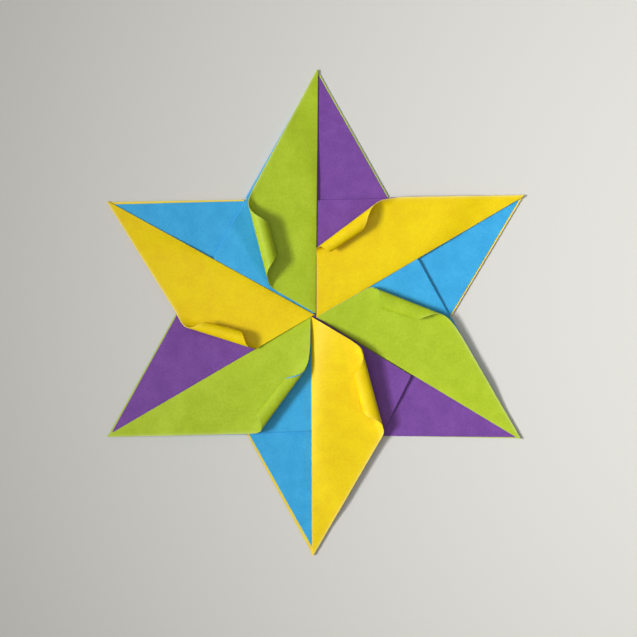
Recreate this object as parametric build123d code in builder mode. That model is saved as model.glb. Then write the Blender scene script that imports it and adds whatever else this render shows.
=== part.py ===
from build123d import *
import os
from math import cos, radians, sin, tan

# A flat six-pointed star of six folded paper units, interlocked in a ring. Each unit is one square sheet,
# coloured on both sides. It makes the flap and the pocket of one point, and a tab that lies in the pocket
# of the next point, counter-clockwise. The free corner of every flap is rolled up.
# Millimetres, +Z up, the origin at the star's centre on its underside, one point along +Y.

# Driving dimensions of the star and its paper
point_radius = 100.0  # centre of the star to a tip, and the side of the square sheet
paper_thickness = 0.12
layer_air = 0.23  # between loosely stacked layers
flap_air = 0.12  # between the two layers of a flap, pressed closer together

# Where a sheet ends or folds
side_clearance = 0.15  # from a folded edge to the next unit's inner layer
inner_strip = 0.5  # inner layer that shows beside the flap's short edge
rim_width = 1.1  # pocket floor that shows beside the tab
tab_reach = 2.5  # tab hidden under the next flap
tuck_depth = 3.0  # pleat between the inner layer and the tab
fold_end_gap = 1.0  # a fold stops this far from a corner
centre_gap = 1.5  # the long folds stop this far from the centre
pocket_inner_radius = 20.0  # centre of the star to the pocket floor's inner corner
pocket_corner_gap = 0.8  # the pocket floor's blunted corner in each notch

# The rolled corner of a flap
roll_depth = 22.8  # from the line where the flap starts to rise to the corner, along the paper
bend_radius = 2.3  # where the flap turns upright
wall_height = 4.4  # the upright stretch
roll_radius = 2.8  # where the paper turns over at the top
roll_end_radius = 2.0
roll_tip_width = 1.6  # the corner's width where the roll ends
bend_sections = 4
roll_sections = 16

# The six units, clockwise from the point along +Y
unit_names = (
    "lime_unit_top",
    "yellow_unit_upper_right",
    "lime_unit_lower_right",
    "yellow_unit_bottom",
    "lime_unit_lower_left",
    "yellow_unit_upper_left",
)
unit_angle = 360 / len(unit_names)

# Undersides of the layers, from the surface that the star lies on upwards
layer_pitch = paper_thickness + layer_air
pocket_height = 0
tab_height = pocket_height + layer_pitch
tuck_height = tab_height + layer_pitch
inner_height = tuck_height + layer_pitch
flap_under_height = inner_height + layer_pitch
flap_top_height = flap_under_height + paper_thickness + flap_air
flap_thickness = flap_top_height + paper_thickness - flap_under_height

# A folded edge bulges past its line by half the height that it spans
long_fold_radius = (flap_top_height + paper_thickness - inner_height) / 2
inner_margin = long_fold_radius + side_clearance
flap_margin = inner_margin + inner_strip

# Corners of one unit, drawn as the equilateral triangle of the centre, its own tip at 120 degrees and the
# next tip at 180 degrees. The triangle's altitude is the folded edge of the flap.
half_angle = unit_angle / 2
flap_edge_x = -point_radius * cos(radians(unit_angle))
tip = Vector(flap_edge_x, point_radius * sin(radians(unit_angle)))
next_tip = Vector(-point_radius, 0)
notch_y = -flap_edge_x * tan(radians(half_angle))
to_tip = tip.normalized()


def mirrored(point):
    """The point on the other side of the line from the centre to the unit's own tip."""
    along = to_tip * point.dot(to_tip)
    return along * 2 - point


def layer(outline, height):
    """A flat layer of paper with its underside at the given height."""
    with BuildPart() as sheet:
        with BuildSketch(Plane.XY.offset(height)):
            with BuildLine():
                Polyline(*outline, close=True)
            make_face()
        extrude(amount=paper_thickness)
    return sheet.part


def fold(start, end, low, high, outward):
    """A folded edge: half a tube of paper from start to end that joins the layers at low and high."""
    outer_radius = (high + paper_thickness - low) / 2
    run = end - start
    middle = Vector(start.X, start.Y, low + outer_radius)
    with BuildPart() as edge:
        with BuildSketch(Plane(origin=middle, x_dir=outward, z_dir=run)):
            Circle(outer_radius)
            Circle(outer_radius - paper_thickness, mode=Mode.SUBTRACT)
            Rectangle(
                outer_radius,
                outer_radius * 2,
                align=(Align.MAX, Align.CENTER),
                mode=Mode.SUBTRACT,
            )
        extrude(amount=run.length)
    return edge.part


# Pocket floor: a kite from the tip to both notches, folded to the inner layer along the flap's edge
notch = Vector(flap_edge_x, notch_y)
pocket_corner = to_tip * pocket_inner_radius
notch_edge_end = notch + (tip - notch).normalized() * pocket_corner_gap
notch_inner_end = notch + (pocket_corner - notch).normalized() * pocket_corner_gap
pocket_outline = [
    tip,
    notch_edge_end,
    notch_inner_end,
    pocket_corner,
    mirrored(notch_inner_end),
    mirrored(notch_edge_end),
]
pocket_fold_start = Vector(flap_edge_x, tip.Y - fold_end_gap)
pocket_fold_end = Vector(flap_edge_x, notch_y + fold_end_gap)

# Inner layer: the whole half triangle under the flap
inner_outline = [
    Vector(flap_edge_x, inner_margin),
    tip,
    to_tip * (inner_margin / to_tip.Y),
]

# Tab: from a pleat under the inner layer's edge out to the next tip, narrower than the pocket by the rim
rim_at_tip = rim_width / sin(radians(half_angle))
rim_at_notch = rim_width / cos(radians(half_angle))
tuck_x = flap_edge_x + tuck_depth
tab_top_y = notch_y - rim_at_notch
tab_low_y = inner_margin + fold_end_gap
tab_point = next_tip + Vector(rim_at_tip, 0)
pleat_low = Vector(flap_edge_x, tab_low_y)
pleat_low_inner = Vector(tuck_x, tab_low_y)
pleat_top = Vector(flap_edge_x, tab_top_y)
pleat_top_inner = Vector(tuck_x, tab_top_y)
pleat_outline = [pleat_low, pleat_low_inner, pleat_top_inner, pleat_top]
tab_outline = [
    pleat_top_inner,
    pleat_top,
    tab_point,
    tab_point + Vector(tab_reach / tan(radians(half_angle)), -tab_reach),
    Vector(flap_edge_x, -tab_reach),
    pleat_low,
    pleat_low_inner,
]

# Flap: the same half triangle, doubled, without the corner that is rolled up
flap_corner = Vector(flap_edge_x, flap_margin)
to_flap_inside = Vector(1, 1).normalized()
roll_axis = Vector(1, -1).normalized()
roll_middle = flap_corner + to_flap_inside * roll_depth
roll_edge_start = roll_middle - roll_axis * roll_depth
roll_edge_end = roll_middle + roll_axis * roll_depth
flap_outline = [roll_edge_start, tip, to_tip * (flap_margin / to_tip.Y), roll_edge_end]
flap_fold_start = Vector(flap_edge_x, tip.Y - fold_end_gap)
long_fold_start = tip - to_tip * fold_end_gap
long_fold_end = to_tip * centre_gap
past_flap_edge = Vector(-1, 0)
past_long_edge = Vector(cos(radians(half_angle)), sin(radians(half_angle)))

# Rolled corner: the doubled paper bends upright, then winds over at the top with a radius that shrinks
# steadily with the turn. Each state is the length wound up, the way forward and up, and the turn so far.
upright = radians(90)
bend_length = bend_radius * upright
roll_length = roll_depth - roll_tip_width / 2 - bend_length - wall_height
roll_turn = roll_length / ((roll_radius + roll_end_radius) / 2)
radius_loss = (roll_radius - roll_end_radius) / roll_turn
roll_states = []
for step in range(bend_sections + 1):
    turn = upright * step / bend_sections
    forward = bend_radius * sin(turn)
    rise = bend_radius * (1 - cos(turn))
    roll_states.append((bend_radius * turn, forward, rise, turn))
for step in range(roll_sections + 1):
    turn = roll_turn * step / roll_sections
    wound = bend_length + wall_height + roll_radius * turn - radius_loss * turn**2 / 2
    back = roll_radius * (1 - cos(turn)) - radius_loss * (sin(turn) - turn * cos(turn))
    climb = roll_radius * sin(turn) - radius_loss * (turn * sin(turn) + cos(turn) - 1)
    roll_states.append((wound, bend_radius - back, bend_radius + wall_height + climb, upright + turn))

# The two edges of the corner run at 45 degrees across the roll
outward = -to_flap_inside
up = Vector(0, 0, 1)
roll_start = roll_middle + up * (flap_under_height + flap_thickness / 2)
with BuildPart() as rolled_corner:
    for wound, forward, rise, turn in roll_states:
        section_plane = Plane(
            origin=roll_start + outward * forward + up * rise,
            x_dir=roll_axis,
            z_dir=outward * cos(turn) + up * sin(turn),
        )
        with BuildSketch(section_plane):
            Rectangle((roll_depth - wound) * 2, flap_thickness)
    loft()

# One whole unit, folded from a single sheet
with BuildPart() as folded_unit:
    add(layer(pocket_outline, pocket_height))
    add(fold(pocket_fold_start, pocket_fold_end, pocket_height, inner_height, past_flap_edge))
    add(layer(inner_outline, inner_height))
    add(fold(pleat_low, pleat_top, tuck_height, inner_height, past_flap_edge))
    add(layer(pleat_outline, tuck_height))
    add(fold(pleat_low_inner, pleat_top_inner, tab_height, tuck_height, -past_flap_edge))
    add(layer(tab_outline, tab_height))
    add(fold(long_fold_start, long_fold_end, inner_height, flap_top_height, past_long_edge))
    add(layer(flap_outline, flap_top_height))
    add(fold(flap_fold_start, roll_edge_start, flap_under_height, flap_top_height, past_flap_edge))
    add(layer(flap_outline, flap_under_height))
    add(rolled_corner.part)

# Six units in a ring, each turned on by a sixth
os.makedirs("parts", exist_ok=True)
first_turn = -half_angle
for place, name in enumerate(unit_names):
    with BuildPart() as unit:
        add(folded_unit.part.rotate(Axis.Z, first_turn - place * unit_angle))
    unit.part.label = name
    export_step(unit.part, f"parts/{name}.step")
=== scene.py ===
from math import cos, radians, sin
from typing import NamedTuple

import bmesh
import bpy
import numpy as np
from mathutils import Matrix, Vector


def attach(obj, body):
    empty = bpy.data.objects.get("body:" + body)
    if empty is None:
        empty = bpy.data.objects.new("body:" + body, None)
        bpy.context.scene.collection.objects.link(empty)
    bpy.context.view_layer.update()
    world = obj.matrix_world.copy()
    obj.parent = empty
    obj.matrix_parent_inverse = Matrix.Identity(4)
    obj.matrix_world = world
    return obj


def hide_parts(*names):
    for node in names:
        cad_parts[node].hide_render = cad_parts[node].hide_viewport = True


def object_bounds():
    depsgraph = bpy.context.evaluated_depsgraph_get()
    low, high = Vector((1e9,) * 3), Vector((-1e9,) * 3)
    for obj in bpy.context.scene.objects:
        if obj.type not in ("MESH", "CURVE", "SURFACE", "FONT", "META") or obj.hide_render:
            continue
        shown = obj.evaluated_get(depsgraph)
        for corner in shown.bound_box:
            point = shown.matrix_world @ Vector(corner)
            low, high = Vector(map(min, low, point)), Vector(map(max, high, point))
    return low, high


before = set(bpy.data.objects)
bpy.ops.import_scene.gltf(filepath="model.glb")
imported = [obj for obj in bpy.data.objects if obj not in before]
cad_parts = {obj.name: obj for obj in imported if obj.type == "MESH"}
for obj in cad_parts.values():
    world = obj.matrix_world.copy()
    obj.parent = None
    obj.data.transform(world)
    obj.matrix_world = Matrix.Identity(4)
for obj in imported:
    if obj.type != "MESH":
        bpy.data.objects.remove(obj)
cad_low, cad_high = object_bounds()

# Looks of a flat modular origami star: six square sheets of paper, coloured on both sides, each folded into
# a unit with a doubled flap, a pocket and a tab, and interlocked in a ring. Lengths below are millimetres.
MM = 0.001

# Sizes of the star and its paper
bulge_room = 0.5  # the folds bulge, so the sheet lines end just inside the solids
point_radius = cad_high.y / MM - bulge_room
paper_thickness = 0.12
unit_angle = 60.0
half_angle = unit_angle / 2

# Heights of the layers, at the middle of the paper
pocket_height = 0.06
tab_height = 0.42
tuck_height = 0.88
inner_height = 1.34
flap_height = 1.82  # between the two layers of the flap
flap_half_gap = 0.12  # from there to each of the two layers
flap_spring = 0.45  # the flap lifts off its long fold by this much
flap_spring_reach = 2.2  # over about this distance from the fold

# Where the sheets end
inner_margin = 0.5  # from the neighbour's long fold to the inner layer
crease_angle = 60.0  # the crease across the inner layer's corner, as the direction away from the corner
crease_distance = 13.5
crease_back_reach = 6.0
step_reach = 30.0  # a step that is off its place pulls the inner layer with it over this distance
step_lift_reach = 12.0  # and one that stands up lifts it over about this distance
pocket_fold_inset = 0.75  # draws the deeper fold of the pocket in, nearly flush with the flap's edge
pocket_inner_radius = 20.0
pocket_corner_gap = 0.8
tuck_depth = 3.0
fold_end_gap = 1.0
notch_gap = 0.2  # the pocket's fold and the pleat stop this far from the notch between them
rim_lift = 0.2  # the pocket floor's outer edge springs up by this much
rim_lift_reach = 1.5
pocket_tip_tuck = 0.3  # the pocket's fold lies this far behind the flap's edge at the tip
pocket_tuck_share = 0.5  # and no longer does after this share of the way to the notch
pocket_tip_opening = 0.4  # the fold opens in proportion to that way, but not less than this share
tab_tip_length, tab_tip_tuck = 3.0, 1.6  # the tab's blunt tip, along the neighbour's fold and under its flap
turned_width, turned_tip_width = 4.0, 0.4  # the turned-down edge of a short tab, at the step and at the tip
turned_height, turned_reach = 0.22, 0.4
tip_press = 0.6  # share of the height that the layers lose where they are pressed together towards a tip
press_start, press_length = 0.5, 0.3  # as shares of the way from the centre to the tip

# Two crossing waves of the whole star, with the lengths over which each turns by one radian in X and in Y
wave_height = 0.1
first_wave, second_wave = (19.0, 31.0), (47.0, 23.0)
second_wave_phase = 1.3

# How pale the folds are painted, from 0 to 1: rubbed paper, and a painted highlight where the rounded fold
# catches the light
long_fold_wear = 0.12
pocket_fold_wear = 0.25
pleat_wear = 0.1
roll_wear = 0.2
# the rim of the pocket floor is painted paler still: mostly a painted highlight where its edge catches the
# light
rim_wear = 0.9
flap_fold_wear_width = 0.6  # the paling fades over about this distance from the flap's folded edge
roll_wear_reach = 3.0  # and drops to that of the roll over about this length
rim_wear_reach = 1.0
long_fold_wear_fade = 60.0  # for the whole way from the long fold to the inner layer's corner

# Grid points of the patches of one sheet
roll_rows, flat_rows = 72, 34
rolled_reach = 26.0  # the close rows of the roll end this far from the flap's corner
fold_crowding, edge_crowding = 1.8, 1.5  # how rows close up to the long fold and columns to both edges
flap_columns, flap_fold_sections = 40, 9
inner_rows, long_fold_sections = 40, 11
corner_share = 0.995  # the inner layer's rows stop at this share of the way to its corner
pocket_rows, pocket_fold_rows, pocket_fold_sections = 40, 60, 13
pleat_rows, pleat_sections = 30, 9
tab_rows, turned_rows = 45, 20
weld_distance = 0.002


class Unit(NamedTuple):
    """One folded sheet and the small ways in which a hand-rolled flap differs from the next. Where a size has
    two values, the first is at the flap's folded edge and the second at its short edge."""

    name: str
    slot: str
    roll_edge: tuple  # from the flap's corner to the outer line of the roll
    bend_radius: tuple  # of the turn up into the roll
    roll_radius: tuple  # of the roll's top
    rise: float  # from the flap up to where the paper turns over
    flap_inset: float  # how far the flap's corner is pulled in from the pocket's edge
    edge_gap: tuple  # from the neighbour's fold to the short edge, at the corner and at the centre
    under_setback: float  # the flap's lower layer ends this much before the upper one
    tab_edge: float  # place of the tab's inner edge past the neighbour's fold, negative under its flap
    tab_rim: tuple  # pocket floor that shows past the tab: beyond its tip, beside its tip and in the notch
    step_shift: float  # how far the pleat's inner end is off its place, towards the centre
    crease: float  # height of the soft crease across the inner layer
    edge_lift: float  # the flap's short edge stands off by this much
    centre: tuple  # how far the unit's end at the centre is off its place
    inner_end: float = inner_margin  # from the neighbour's fold to the inner layer, at the centre
    squash: float = 1.0  # a roll that was pressed flat has this share of its height
    step_lift: float = 0.0  # the step stands up by this much more at its inner end
    slip: tuple = (0.0, 0.0)  # the paper slides this far to the short edge for each length wound up


lime, yellow = "lime_blue_paper", "yellow_purple_paper"
units = (
    Unit(
        "lime_unit_top", lime,
        roll_edge=(19.0, 18.3), bend_radius=(3.4, 2.0), roll_radius=(3.3, 3.2), rise=4.0, slip=(0.15, -0.2),
        flap_inset=1.6, edge_gap=(2.0, 1.0), under_setback=0.0, edge_lift=0.3,
        tab_edge=-2.5, tab_rim=(2.8, 1.25, 0.9), step_shift=0.0, crease=0.9, centre=(0.0, -1.4),
    ),
    Unit(
        "yellow_unit_upper_right", yellow,
        roll_edge=(19.5, 15.5), bend_radius=(4.4, 2.0), roll_radius=(3.3, 2.1), rise=4.4, slip=(0.55, 0.15),
        flap_inset=0.1, edge_gap=(0.1, 0.3), under_setback=-0.05, edge_lift=0.0, squash=0.72,
        tab_edge=1.7, tab_rim=(2.2, 0.65, 0.65), step_shift=2.0, crease=0.15, centre=(0.3, -2.1),
    ),
    Unit(
        "lime_unit_lower_right", lime,
        roll_edge=(20.5, 16.7), bend_radius=(5.0, 2.4), roll_radius=(2.8, 3.5), rise=5.0, slip=(0.8, -0.3),
        flap_inset=0.5, edge_gap=(0.9, 0.25), under_setback=-0.05, edge_lift=0.0, squash=0.42,
        tab_edge=-2.5, tab_rim=(2.7, 0.8, 0.8), step_shift=0.9, crease=0.1, centre=(0.7, -1.55),
        step_lift=0.5,
    ),
    Unit(
        "yellow_unit_bottom", yellow,
        roll_edge=(18.4, 18.7), bend_radius=(3.2, 3.2), roll_radius=(3.3, 3.3), rise=5.2, slip=(0.15, -0.25),
        flap_inset=0.1, edge_gap=(0.7, 0.4), under_setback=-0.05, edge_lift=4.2, squash=0.66,
        tab_edge=-2.5, tab_rim=(1.5, 0.6, 0.05), step_shift=1.6, crease=0.1, centre=(-1.2, -1.4),
        inner_end=-0.5, step_lift=0.6,
    ),
    Unit(
        "lime_unit_lower_left", lime,
        roll_edge=(14.5, 22.1), bend_radius=(5.0, 4.5), roll_radius=(3.0, 2.2), rise=4.8, slip=(0.3, -0.58),
        flap_inset=0.5, edge_gap=(2.0, 1.3), under_setback=0.6, edge_lift=1.4, squash=0.5,
        tab_edge=-2.5, tab_rim=(3.2, 1.6, 1.1), step_shift=1.5, crease=0.1, centre=(-0.5, -1.4),
    ),
    Unit(
        "yellow_unit_upper_left", yellow,
        roll_edge=(15.5, 15.4), bend_radius=(4.2, 2.0), roll_radius=(2.0, 3.0), rise=4.2, slip=(0.0, 0.08),
        flap_inset=0.1, edge_gap=(0.4, 0.4), under_setback=0.0, edge_lift=0.2, squash=0.85,
        tab_edge=-2.5, tab_rim=(2.5, 0.85, 0.75), step_shift=1.9, crease=1.2, centre=(-0.1, -1.3),
    ),
)
roll_end_share = 0.55  # the roll's radius at the corner, as a share of its radius at the top
roll_tip = 0.8  # the corner is blunted this far from its point
roll_spare = 1.0  # the spiral is laid out this much longer than the paper in it
setback_limit = 0.5  # the lower layer loses at most this share of a row
approach_lift = 0.6  # the flap lifts this much before the roll starts
approach_reach = 9.0  # over about this distance
approach_run_on = 3.0  # and the slope that it has reached fades over this distance in the roll
edge_lift_reach = 6.0  # the short edge stands off from about this distance to the long fold
edge_lift_fade, edge_lift_kept = 7.0, 0.4  # and loses all but this share over about this length in the roll

# How far the hand-folded tips and the notch after each of them are off their places on a perfect star,
# clockwise from the top
tip_shifts = ((0.9, 0.35), (-0.35, -1.6), (-1.7, -2.1), (-0.87, -0.4), (0.8, -1.25), (0.8, -4.25))
notch_shifts = ((2.1, -2.6), (-1.4, -2.2), (-1.3, -1.3), (0.2, -0.2), (0.3, 0.4), (0.2, -2.9))


def lerp(a, b, share):
    """From a to b by the given share."""
    return a + (b - a) * share


def eased(count, power):
    """count shares from 0 to 1, closer together near both ends for a power above 1."""
    t = np.linspace(-1, 1, count)
    return (np.sign(t) * (1 - (1 - np.abs(t)) ** power) + 1) / 2


def patch(near, near_end, far_end, far, along, across, height):
    """A bilinear patch: each row runs straight from the near side to the far side, at a height of its own."""
    flat = lerp(
        lerp(near, near_end, along[:, None, None]),
        lerp(far, far_end, along[:, None, None]),
        across[None, :, None],
    )
    return np.dstack([flat, np.broadcast_to(height, flat.shape[:2])])


# Corners of one unit as the solids have them: the centre, its own tip at 120 degrees, the next at 180 degrees
tip = point_radius * np.array([-sin(radians(half_angle)), cos(radians(half_angle))])
next_tip = np.array([-point_radius, 0.0])
notch = np.array([tip[0], -tip[0] * np.tan(radians(half_angle))])
to_tip = tip / point_radius
past_long_fold = np.array([cos(radians(half_angle)), sin(radians(half_angle))])
crease_normal = np.array([cos(radians(crease_angle)), sin(radians(crease_angle))])


class Sheet:
    """Collects the grid patches of one sheet of paper; the row direction turned towards the column direction
    gives the front, which is the sheet's first colour."""

    def __init__(self):
        self.points, self.faces, self.wear, self.count = [], [], [], 0

    def add(self, points, wear):
        """Adds a patch of rows by columns of points, with the paling of its folds from 0 to 1: rubbing and a
        painted highlight.
        """
        rows, columns = points.shape[:2]
        number = np.arange(rows * columns).reshape(rows, columns) + self.count
        corners = [number[:-1, :-1], number[1:, :-1], number[1:, 1:], number[:-1, 1:]]
        self.faces.append(np.stack(corners, axis=-1).reshape(-1, 4))
        self.points.append(points.reshape(-1, 3))
        self.wear.append(np.broadcast_to(wear, (rows, columns)).reshape(-1))
        self.count += rows * columns


def roll_profile(wound, bend_radius, wall_height, roll_radius, roll_length):
    """Way forward, way up and turn of the paper after a wound-up length: a quarter bend, an upright wall, and
    a spiral whose radius shrinks evenly with its turn."""
    upright = radians(90)
    bend_length = bend_radius * upright
    bend_turn = np.clip(wound, 0, bend_length) / bend_radius
    wall = np.clip(wound - bend_length, 0, wall_height)
    spiral_length = roll_length - bend_length - wall_height
    full_turn = spiral_length / (roll_radius * (1 + roll_end_share) / 2)
    loss = roll_radius * (1 - roll_end_share) / full_turn
    rolled = np.clip(wound - bend_length - wall_height, 0, spiral_length)
    turn = (roll_radius - np.sqrt(roll_radius**2 - 2 * loss * rolled)) / loss
    back = roll_radius * (1 - np.cos(turn)) - loss * (np.sin(turn) - turn * np.cos(turn))
    climb = roll_radius * np.sin(turn) - loss * (turn * np.sin(turn) + np.cos(turn) - 1)
    forward = np.minimum(wound, 0) + bend_radius * np.sin(bend_turn) - back
    rise = bend_radius * (1 - np.cos(bend_turn)) + wall + climb
    return forward, rise, bend_turn + turn


def ellipse_share(squash):
    """Length round an ellipse with the given ratio of its axes, as a share of the circle round it."""
    return (3 * (1 + squash) - np.sqrt((3 + squash) * (1 + 3 * squash))) / 2


def add_flap(sheet, unit):
    """The doubled flap with its rolled corner. A point of the flat triangle is a share of the way along its
    two edges from the corner; past the roll's start line it is carried up along the roll's profile. The
    upper and the lower layer lie on both sides of that surface, and half a tube joins them along the folded
    edge. Gives back the upper layer's row along the long fold."""
    corner = np.array([tip[0] + unit.flap_inset, unit.edge_gap[0]])
    end = to_tip * unit.edge_gap[1] / to_tip[1]
    fold_edge, short_edge = tip - corner, end - corner
    fold_length, short_length = np.linalg.norm(fold_edge), np.linalg.norm(short_edge)
    fold_edge, short_edge = fold_edge / fold_length, short_edge / short_length

    # Rows from the corner to the long fold, close together on the roll and beside the fold
    rolled_length = np.linspace(roll_tip, rolled_reach, roll_rows) * np.sqrt(2)
    flat_share = 1 - (1 - np.linspace(0, 1, flat_rows)[1:]) ** fold_crowding
    fold_lengths = np.concatenate([rolled_length, lerp(rolled_length[-1], fold_length, flat_share)])
    short_lengths = np.concatenate([rolled_length, lerp(rolled_length[-1], short_length, flat_share)])
    row_start = corner + fold_edge * fold_lengths[:, None]
    row_end = corner + short_edge * short_lengths[:, None]
    row_length = np.linalg.norm(row_end - row_start, axis=1)[:, None]

    # Columns: the upper layer from the short edge to the folded edge, half a tube, the lower layer back
    shares = eased(flap_columns, edge_crowding)
    tube = np.linspace(0, np.pi, flap_fold_sections)[1:-1]
    lower_shares = shares * (1 - np.minimum(unit.under_setback / row_length, setback_limit))
    upper_shares = np.broadcast_to(shares[::-1], lower_shares.shape)
    tube_shares = np.zeros((len(row_length), len(tube)))
    across = np.concatenate([upper_shares, tube_shares, lower_shares], axis=1)
    around = np.concatenate([np.zeros(flap_columns), tube, np.full(flap_columns, np.pi)])
    flat = lerp(row_start[:, None, :], row_end[:, None, :], across[:, :, None])

    # The roll's own directions, from the two ends of its start line
    inside = (fold_edge + short_edge) / np.sqrt(2)
    along_roll = (short_edge - fold_edge) / np.sqrt(2)
    roll_start = np.add(unit.roll_edge, unit.bend_radius)
    line_start = corner + (inside - along_roll) * roll_start[0]
    line_end = corner + (inside + along_roll) * roll_start[1]
    axis = (line_end - line_start) / np.linalg.norm(line_end - line_start)
    outward = np.array([axis[1], -axis[0]])
    past_line = (flat - line_start) @ outward
    beside = (flat - line_start) @ axis
    roll_share = beside / np.linalg.norm(line_end - line_start)
    between_ends = np.clip(roll_share, 0, 1)
    roll_radius = lerp(unit.roll_radius[0], unit.roll_radius[1], between_ends)
    bend_radius = lerp(unit.bend_radius[0], unit.bend_radius[1], between_ends)
    wall_height = np.maximum(unit.rise - bend_radius, 0)
    roll_length = (lerp(roll_start[0], roll_start[1], roll_share) + roll_spare) / ellipse_share(unit.squash)
    wound = np.where(past_line > 0, past_line / ellipse_share(unit.squash), past_line)
    forward, rise, turn = roll_profile(wound, bend_radius, wall_height, roll_radius, roll_length)

    # The flap springs off its long fold, as much again in the roll as where the roll starts, and lifts on its
    # way to the roll
    in_roll = np.maximum(past_line, 0)
    from_fold = -(flat - outward * in_roll[:, :, None]) @ past_long_fold
    lift = flap_spring * (1 - np.exp(-np.maximum(from_fold, 0) / flap_spring_reach))
    lift += approach_lift * np.exp(np.minimum(past_line, 0) / approach_reach)
    lift += approach_lift * approach_run_on / approach_reach * (1 - np.exp(-in_roll / approach_run_on))
    slid = beside + lerp(unit.slip[0], unit.slip[1], between_ends) * in_roll
    slid_share = np.clip(slid / np.linalg.norm(line_end - line_start), 0, 1)
    wound_share = 1 - np.exp(-((in_roll / edge_lift_fade) ** 2))
    edge_lift = unit.edge_lift * lerp(1, edge_lift_kept, wound_share)
    edge_lift = edge_lift * lerp(across, slid_share, wound_share) ** 2
    lift += edge_lift * (1 - np.exp(-np.maximum(from_fold, 0) / edge_lift_reach))

    # Surface, its upward side and, along the folded edge, the way out of the paper
    turn = turn[:, :, None]
    forward_way = np.append(outward, 0) * np.cos(turn) + np.array([0, 0, 1]) * np.sin(turn)
    upper_way = np.array([0, 0, 1]) * np.cos(turn) - np.append(outward, 0) * np.sin(turn)
    past_edge = np.array([-1.0, 0.0])
    edge_way = forward_way * (past_edge @ outward) + np.append(axis, 0) * (past_edge @ axis)
    middle = line_start + slid[:, :, None] * axis + forward[:, :, None] * outward
    middle = np.dstack([middle, flap_height + lift + rise * unit.squash])
    swing = around[None, :, None]
    points = middle + flap_half_gap * (np.cos(swing) * upper_way + np.sin(swing) * edge_way)
    # Paler towards the folded edge, less so on the roll: rubbed paper and a painted highlight along the fold
    wear = np.exp(-across * row_length / flap_fold_wear_width)
    wear = wear * lerp(1, roll_wear, 1 - np.exp(-in_roll / roll_wear_reach))
    sheet.add(points, wear)
    return points[-1, :flap_columns]


def step_share(y):
    """How far along the step from the notch to the neighbour's long fold."""
    return np.clip((notch[1] - y) / (notch[1] - inner_margin), 0, None)


def inner_edge_x(y, step_shift):
    """Where the inner layer turns into the pocket and then into the pleat: a line from the tip to the notch
    that draws in evenly, and on to the neighbour's long fold."""
    return tip[0] + pocket_fold_inset * (tip[1] - y) / (tip[1] - inner_margin) + step_shift * step_share(y)


def add_inner_layer(sheet, unit, flap_edge):
    """The long fold, half a tube carried along the flap's edge, and the inner layer behind it, whose rows
    close in on the corner. It rises to the step where that stands up, less and less with the distance. A
    soft crease crosses it: a low ridge that falls off evenly to both sides."""
    radius = (flap_edge[:, 2:] - inner_height) / 2
    swing = np.linspace(0, np.pi, long_fold_sections)[:, None, None]
    way_out = np.append(past_long_fold, 0)
    level = np.array([0, 0, 1])
    tube = flap_edge - radius * level + radius * (np.sin(swing) * way_out + np.cos(swing) * level)
    inner_end = to_tip * unit.inner_end / to_tip[1]
    end_share = np.linalg.norm(flap_edge[:, :2] - tip, axis=1) / np.linalg.norm(flap_edge[0, :2] - tip)
    inner_start = np.column_stack([lerp(tip, inner_end, end_share[:, None]), tube[-1, :, 2]])
    corner = np.array([tip[0] + pocket_fold_inset, inner_margin, inner_height])
    share = np.linspace(0, corner_share, inner_rows)[1:, None]
    inner = lerp(inner_start, corner, share[:, :, None])
    from_edge = inner[:, :, 0] - inner_edge_x(inner[:, :, 1], 0)
    inner[:, :, 0] += step_share(inner[:, :, 1]) * unit.step_shift * np.clip(1 - from_edge / step_reach, 0, 1)
    lifted = np.minimum(step_share(inner[:, :, 1]), 1) * np.exp(-np.maximum(from_edge, 0) / step_lift_reach)
    inner[:, :, 2] += unit.step_lift * lifted
    from_crease = (inner[:, :, :2] - corner[:2]) @ crease_normal - crease_distance
    slope_reach = np.where(from_crease < 0, crease_distance, crease_back_reach)
    inner[:, :, 2] += unit.crease * np.maximum(1 - np.abs(from_crease) / slope_reach, 0)
    # The long fold is painted paler: rubbed paper and a painted highlight along it, fading towards the corner
    wear = np.concatenate([np.ones((long_fold_sections, 1)), np.exp(-share * long_fold_wear_fade)])
    sheet.add(np.concatenate([tube, inner]), long_fold_wear * wear)


def add_pocket(sheet):
    """The fold of the inner layer round the pocket's edge, half a tube that opens away from the tip, and the
    pocket floor, a kite from the tip to both notches whose outer edge springs up."""
    radius = (inner_height - pocket_height) / 2
    y = np.linspace(tip[1] - fold_end_gap, notch[1] + notch_gap, pocket_fold_rows)[:, None]
    swing = np.linspace(0, np.pi, pocket_fold_sections)[None, :]
    from_tip = (tip[1] - y) / (tip[1] - notch[1])
    opening = np.clip(from_tip, pocket_tip_opening, 1) ** 2
    tucked = pocket_tip_tuck * np.clip(1 - from_tip / pocket_tuck_share, 0, 1)
    x = inner_edge_x(y, 0) + tucked - radius * opening * np.sin(swing)
    z = pocket_height + radius + radius * np.cos(swing)
    # The pocket's fold is painted paler: rubbed paper and a painted highlight along it
    sheet.add(np.dstack(np.broadcast_arrays(x, y, z)), pocket_fold_wear)
    inner_corner = to_tip * pocket_inner_radius
    left = notch + np.array([pocket_fold_inset / 2, pocket_corner_gap])
    right = 2 * to_tip * (left @ to_tip) - left
    shares = np.linspace(0, 1, pocket_rows)
    along = shares**2
    from_rim = along[:, None] * np.linalg.norm(left - tip)
    height = pocket_height + rim_lift * np.exp(-from_rim / rim_lift_reach)
    kite = patch(tip, left, inner_corner, right, along, shares, height)
    # The rim is painted paler: a painted highlight where the springing edge catches the light
    sheet.add(kite, rim_wear * np.exp(-from_rim / rim_wear_reach))


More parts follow.
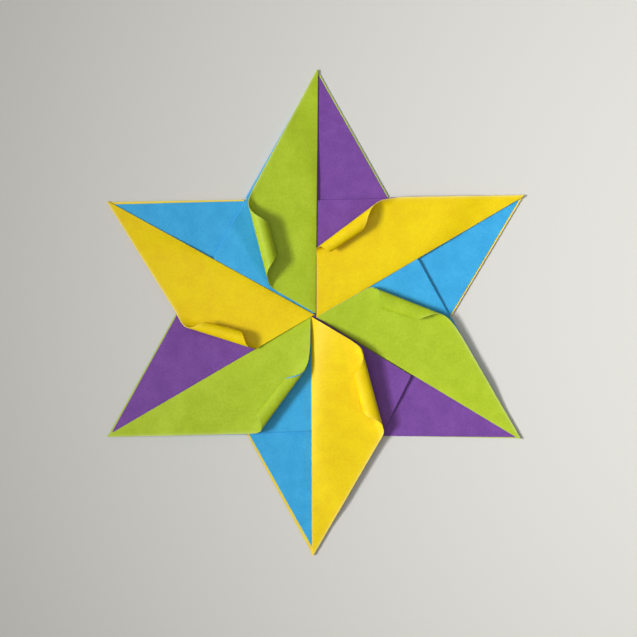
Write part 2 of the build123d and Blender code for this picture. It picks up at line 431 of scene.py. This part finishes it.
def add_tab(sheet, unit):
    """The pleat, a profile of two half tubes and a strip carried along the step in the middle of the next
    point, and the tab that it ends in. Where the step stands up, the outer half tube rises along it."""
    past_tip, beside_tip, in_notch = unit.tab_rim
    top = notch[1] - in_notch
    low = inner_margin + fold_end_gap
    radius = (inner_height - tuck_height) / 2
    swing = np.linspace(0, np.pi, pleat_sections)
    outer_x, outer_z = -radius * np.sin(swing), tuck_height + radius + radius * np.cos(swing)
    inner_x, inner_z = tuck_depth + radius * np.sin(swing), tab_height + radius + radius * np.cos(swing)
    z = np.concatenate([outer_z, inner_z, [tab_height]])
    y = np.linspace(notch[1] - notch_gap, low, pleat_rows)[:, None]
    x = inner_edge_x(y, unit.step_shift) + np.concatenate([outer_x, inner_x, [0]])
    outer_fold = np.arange(len(z)) < len(swing)
    # Only the pleat's outer fold is painted paler: rubbed paper and a painted highlight along it
    fold_wear = np.where(outer_fold, pleat_wear, 0.0)
    z = z + unit.step_lift * np.minimum(step_share(y), 1) * outer_fold
    sheet.add(np.dstack(np.broadcast_arrays(x, y, z)), fold_wear)
    pleat_top = np.array([inner_edge_x(top, unit.step_shift), top])
    pleat_low = np.array([inner_edge_x(unit.tab_edge, unit.step_shift), unit.tab_edge])
    tab_tip = next_tip + np.array([past_tip, past_tip * np.tan(radians(half_angle)) - beside_tip])
    tab_low = next_tip + np.array([past_tip + tab_tip_length, -tab_tip_tuck])
    shares = np.linspace(0, 1, tab_rows)
    sheet.add(patch(pleat_top, pleat_low, tab_low, tab_tip, shares, shares, tab_height), 0.0)
    if unit.tab_edge > 0:
        # The edge that falls short of the neighbour's flap is turned down into the pocket
        step_end = pleat_low - np.array([0.0, turned_width])
        tip_end = tab_low - np.array([0.0, turned_tip_width])
        down = np.linspace(0, 1, turned_rows) ** 2
        height = lerp(turned_height, tab_height, np.exp(-down * turned_width / turned_reach))[:, None]
        sheet.add(patch(pleat_low, step_end, tip_end, tab_low, down, shares, height), 0.0)


def cross(a, b):
    """The turn from a to b, as twice the triangle between them."""
    return a[:, 0] * b[:, 1] - a[:, 1] * b[:, 0]


def place(points, turn_degrees, centre_shift):
    """Turns a unit to its place and bends the whole star a little. The star is cut into triangles from the
    centre to a tip and a notch beside it; in each, a point moves by the same shares of the three corners'
    shifts as it has of the corners themselves. The layers close up towards the tips, and the paper waves by
    a few tenths of a millimetre, always upwards: the sum of two sines that run aslant, and 2."""
    a = radians(turn_degrees)
    turned = points[:, :2] @ np.array([[cos(a), sin(a)], [-sin(a), cos(a)]])
    sectors = 2 * len(units)
    ring_number = np.arange(sectors + 1)
    compass = np.radians(half_angle * ring_number)
    reach = np.where(ring_number % 2 == 0, point_radius, np.linalg.norm(notch))
    ring = reach[:, None] * np.column_stack([np.sin(compass), np.cos(compass)])
    ring_shifts = np.stack([tip_shifts, notch_shifts], axis=1).reshape(sectors, 2)
    ring_shifts = np.append(ring_shifts, ring_shifts[:1], axis=0)
    sector = (np.degrees(np.arctan2(turned[:, 0], turned[:, 1])) // half_angle).astype(int) % sectors
    left, right = ring[sector], ring[sector + 1]
    left_share = (cross(turned, right) / cross(left, right))[:, None]
    right_share = (cross(left, turned) / cross(left, right))[:, None]
    shift = left_share * ring_shifts[sector] + right_share * ring_shifts[sector + 1]
    shift += (1 - left_share - right_share) * np.array(centre_shift)
    x, y = (turned + shift).T
    tip_share = np.where(sector % 2 == 0, left_share[:, 0], right_share[:, 0])
    press = np.clip((tip_share - press_start) / press_length, 0, 1)
    z = lerp(pocket_height, points[:, 2], 1 - tip_press * press**2 * (3 - 2 * press))
    first = np.sin(x / first_wave[0] + y / first_wave[1])
    second = np.sin(y / second_wave[1] - x / second_wave[0] + second_wave_phase)
    return np.column_stack([x, y, z + wave_height * (2 + first + second)]) * MM


def paper_unit(unit, number, materials):
    """Builds one unit as a single folded sheet with a wall of paper thickness. The three materials are those
    of its front, its back and its cut edge."""
    sheet = Sheet()
    flap_edge = add_flap(sheet, unit)
    add_inner_layer(sheet, unit, flap_edge)
    add_pocket(sheet)
    add_tab(sheet, unit)
    points = place(np.concatenate(sheet.points), -half_angle - unit_angle * number, unit.centre)
    mesh = bpy.data.meshes.new(unit.name + "_paper")
    mesh.from_pydata(points.tolist(), [], np.concatenate(sheet.faces).tolist())
    # Per point paling of the folds, rubbing and a painted highlight, for the paper's material
    wear = mesh.attributes.new("fold_wear", "FLOAT", "POINT")
    wear.data.foreach_set("value", np.concatenate(sheet.wear).astype(np.float32))
    merged = bmesh.new()
    merged.from_mesh(mesh)
    bmesh.ops.remove_doubles(merged, verts=merged.verts, dist=weld_distance * MM)
    merged.to_mesh(mesh)
    merged.free()

    # Smooth faces, with the cut edges of the paper kept sharp
    mesh.polygons.foreach_set("use_smooth", np.ones(len(mesh.polygons), bool))
    edge_of_corner = np.empty(len(mesh.loops), np.int32)
    mesh.loops.foreach_get("edge_index", edge_of_corner)
    is_cut = np.bincount(edge_of_corner, minlength=len(mesh.edges)) == 1
    mesh.attributes.new("sharp_edge", "BOOLEAN", "EDGE").data.foreach_set("value", is_cut)
    piece = bpy.data.objects.new(unit.name + "_paper", mesh)
    bpy.context.scene.collection.objects.link(piece)
    for material in materials:
        mesh.materials.append(material)
    wall = piece.modifiers.new("paper_thickness", "SOLIDIFY")
    wall.thickness = paper_thickness * MM
    wall.offset = 0
    wall.material_offset = 1
    wall.material_offset_rim = 2
    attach(piece, "root")
    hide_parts(unit.name)


def linear(hex_colour):
    """A hex sRGB colour as linear red, green, blue and 1, by the curve of the sRGB standard."""
    channels = np.array([int(hex_colour[i : i + 2], 16) for i in (1, 3, 5)]) / 255
    low, high = channels / 12.92, ((channels + 0.055) / 1.055) ** 2.4
    return (*np.where(channels <= 0.04045, low, high), 1.0)


def add_node(tree, kind, inputs, **properties):
    """Adds a node, sets its properties, and fills its inputs, each with a value or a link from a socket."""
    node = tree.nodes.new(kind)
    for name, value in properties.items():
        setattr(node, name, value)
    for key, value in inputs.items():
        if isinstance(value, bpy.types.NodeSocket):
            tree.links.new(value, node.inputs[key])
        else:
            node.inputs[key].default_value = value
    return node


def new_material(name, roughness, specular):
    """A material with a plain shader, and the shader."""
    material = bpy.data.materials.new(name)
    material.use_nodes = True
    shader = material.node_tree.nodes["Principled BSDF"]
    shader.inputs["Roughness"].default_value = roughness
    shader.inputs["Specular IOR Level"].default_value = specular
    return material, shader


# The colour inputs and the colour output of a Mix node
colour_a, colour_b, mixed = 6, 7, 2


def origami_paper(name, colour, deep_colour, worn_and_highlight_colour):
    """Thin dyed origami paper, calendered: a matt face that the eye sees as one even colour with faint clouds
    where the dye took unevenly, a fine fibre grain, and folds painted paler: rubbed paper and a painted
    highlight."""
    cloud_size, fibre_size, fibre_relief = 6.0, 0.8, 0.02
    material, shader = new_material(name, roughness=0.5, specular=0.22)
    tree = material.node_tree
    where = add_node(tree, "ShaderNodeTexCoord", {}).outputs["Object"]
    cloud = add_node(
        tree, "ShaderNodeTexNoise", {"Vector": where, "Scale": 1 / (cloud_size * MM), "Detail": 3.0}
    ).outputs["Fac"]
    fibre = add_node(
        tree, "ShaderNodeTexNoise", {"Vector": where, "Scale": 1 / (fibre_size * MM), "Detail": 4.0}
    ).outputs["Fac"]
    both = add_node(tree, "ShaderNodeMath", {0: cloud, 1: fibre}, operation="ADD").outputs[0]
    depth = add_node(
        tree, "ShaderNodeMapRange", {"Value": both, "From Min": 0.75, "From Max": 1.25}
    ).outputs[0]
    dyed = add_node(
        tree,
        "ShaderNodeMix",
        {"Factor": depth, colour_a: linear(colour), colour_b: linear(deep_colour)},
        data_type="RGBA",
    ).outputs[mixed]
    # The folds' paling, rubbing and a painted highlight, mixes in the pale colour
    wear = add_node(tree, "ShaderNodeAttribute", {}, attribute_name="fold_wear").outputs["Fac"]
    rubbed_and_highlit = add_node(tree, "ShaderNodeMath", {0: wear, 1: fibre}, operation="MULTIPLY").outputs[0]
    surface = add_node(
        tree,
        "ShaderNodeMix",
        {"Factor": rubbed_and_highlit, colour_a: dyed, colour_b: linear(worn_and_highlight_colour)},
        data_type="RGBA",
    ).outputs[mixed]
    tree.links.new(surface, shader.inputs["Base Color"])
    bump = add_node(
        tree, "ShaderNodeBump", {"Strength": 0.25, "Distance": fibre_relief * MM, "Height": fibre}
    )
    tree.links.new(bump.outputs["Normal"], shader.inputs["Normal"])
    return material


def cut_edge(name, pale_colour, deep_colour):
    """The cut edge of a sheet: the dye of both faces soaks in, so it is a paler, fibrous tint of them."""
    fibre_size = 0.5
    material, shader = new_material(name, roughness=0.8, specular=0.2)
    tree = material.node_tree
    where = add_node(tree, "ShaderNodeTexCoord", {}).outputs["Object"]
    fibre = add_node(
        tree, "ShaderNodeTexNoise", {"Vector": where, "Scale": 1 / (fibre_size * MM)}
    ).outputs["Fac"]
    surface = add_node(
        tree,
        "ShaderNodeMix",
        {"Factor": fibre, colour_a: linear(pale_colour), colour_b: linear(deep_colour)},
        data_type="RGBA",
    ).outputs[mixed]
    tree.links.new(surface, shader.inputs["Base Color"])
    return material


# Paper of the two kinds of unit: front, back and cut edge
# The last colour of each face is that of its pale folds: rubbed paper and a painted highlight
lime_face = origami_paper("lime_dyed_paper", "#B5CD2E", "#A7BF20", "#DDE99A")
blue_face = origami_paper("sky_blue_dyed_paper", "#40B1E9", "#34A3DD", "#9AD4F0")
yellow_face = origami_paper("yellow_dyed_paper", "#F4D800", "#ECC900", "#F8EE9A")
purple_face = origami_paper("purple_dyed_paper", "#804EA6", "#724297", "#B394CC")
lime_edge = cut_edge("lime_blue_cut_edge", "#B4CC6A", "#9AB84E")
yellow_edge = cut_edge("yellow_purple_cut_edge", "#DFBE28", "#CBA812")
papers = {lime: (lime_face, blue_face, lime_edge), yellow: (yellow_face, purple_face, yellow_edge)}
for number, unit in enumerate(units):
    paper_unit(unit, number, papers[unit.slot])

# Pale floor: a matt square that shows the star's own colours and its soft shadow, just under the paper
floor_reach = 3000.0
floor_drop = 0.2
floor_corners = np.array([(-1, -1, 0), (1, -1, 0), (1, 1, 0), (-1, 1, 0)]) * floor_reach
floor_mesh = bpy.data.meshes.new("floor")
floor_mesh.from_pydata(((floor_corners - (0, 0, floor_drop)) * MM).tolist(), [], [(0, 1, 2, 3)])
floor = bpy.data.objects.new("floor", floor_mesh)
bpy.context.scene.collection.objects.link(floor)
floor_material, floor_shader = new_material("pale_floor", roughness=0.8, specular=0.2)
floor_shader.inputs["Base Color"].default_value = linear("#D8D7D2")
floor_mesh.materials.append(floor_material)


def soft_light(name, azimuth, elevation, distance, size, power, spread=180, feather=0):
    """A square lamp that looks at the star from a compass direction, with 0 along +X, and a height in
    degrees, at a distance in metres. A feathered lamp is tipped up by an angle, so that its beam falls off
    towards its own side."""
    lamp = bpy.data.lights.new(name, "AREA")
    lamp.size = size
    lamp.energy = power
    lamp.spread = radians(spread)
    light = bpy.data.objects.new(name, lamp)
    bpy.context.scene.collection.objects.link(light)
    flat = cos(radians(elevation)) * distance
    light.location = (
        flat * cos(radians(azimuth)),
        flat * sin(radians(azimuth)),
        distance * sin(radians(elevation)),
    )
    light.rotation_euler = (0, radians(90 - elevation + feather), radians(azimuth))


# Soft studio light: a key from the left, feathered to the right, a wide lamp overhead and an even surround
soft_light(
    "key_light", azimuth=183, elevation=47, distance=1.2, size=0.38, power=5.4, spread=60, feather=24
)
soft_light("overhead_light", azimuth=180, elevation=86, distance=1.2, size=0.9, power=2.9)
world = bpy.data.worlds.new("studio")
world.use_nodes = True
world.node_tree.nodes["Background"].inputs["Color"].default_value = (1.0, 0.97, 0.92, 1.0)
world.node_tree.nodes["Background"].inputs["Strength"].default_value = 0.2
bpy.context.scene.world = world

# Camera straight above the star; the photograph is 637 pixels wide, and the star's own origin lies a few
# pixels off its middle
image_pixels = 637
pixels_per_mm = 2.436
origin_pixel = (315.0, 312.5)
lens, sensor = 85.0, 36.0
view_width = image_pixels / pixels_per_mm * MM
camera_data = bpy.data.cameras.new("camera")
camera_data.lens = lens
camera_data.sensor_width = sensor
camera_data.clip_start = 0.01
camera = bpy.data.objects.new("camera", camera_data)
bpy.context.scene.collection.objects.link(camera)
camera.location = (
    (image_pixels / 2 - origin_pixel[0]) / pixels_per_mm * MM,
    (origin_pixel[1] - image_pixels / 2) / pixels_per_mm * MM,
    view_width * lens / sensor + flap_height * MM,
)
bpy.context.scene.camera = camera
bpy.context.scene.view_settings.view_transform = "Standard"
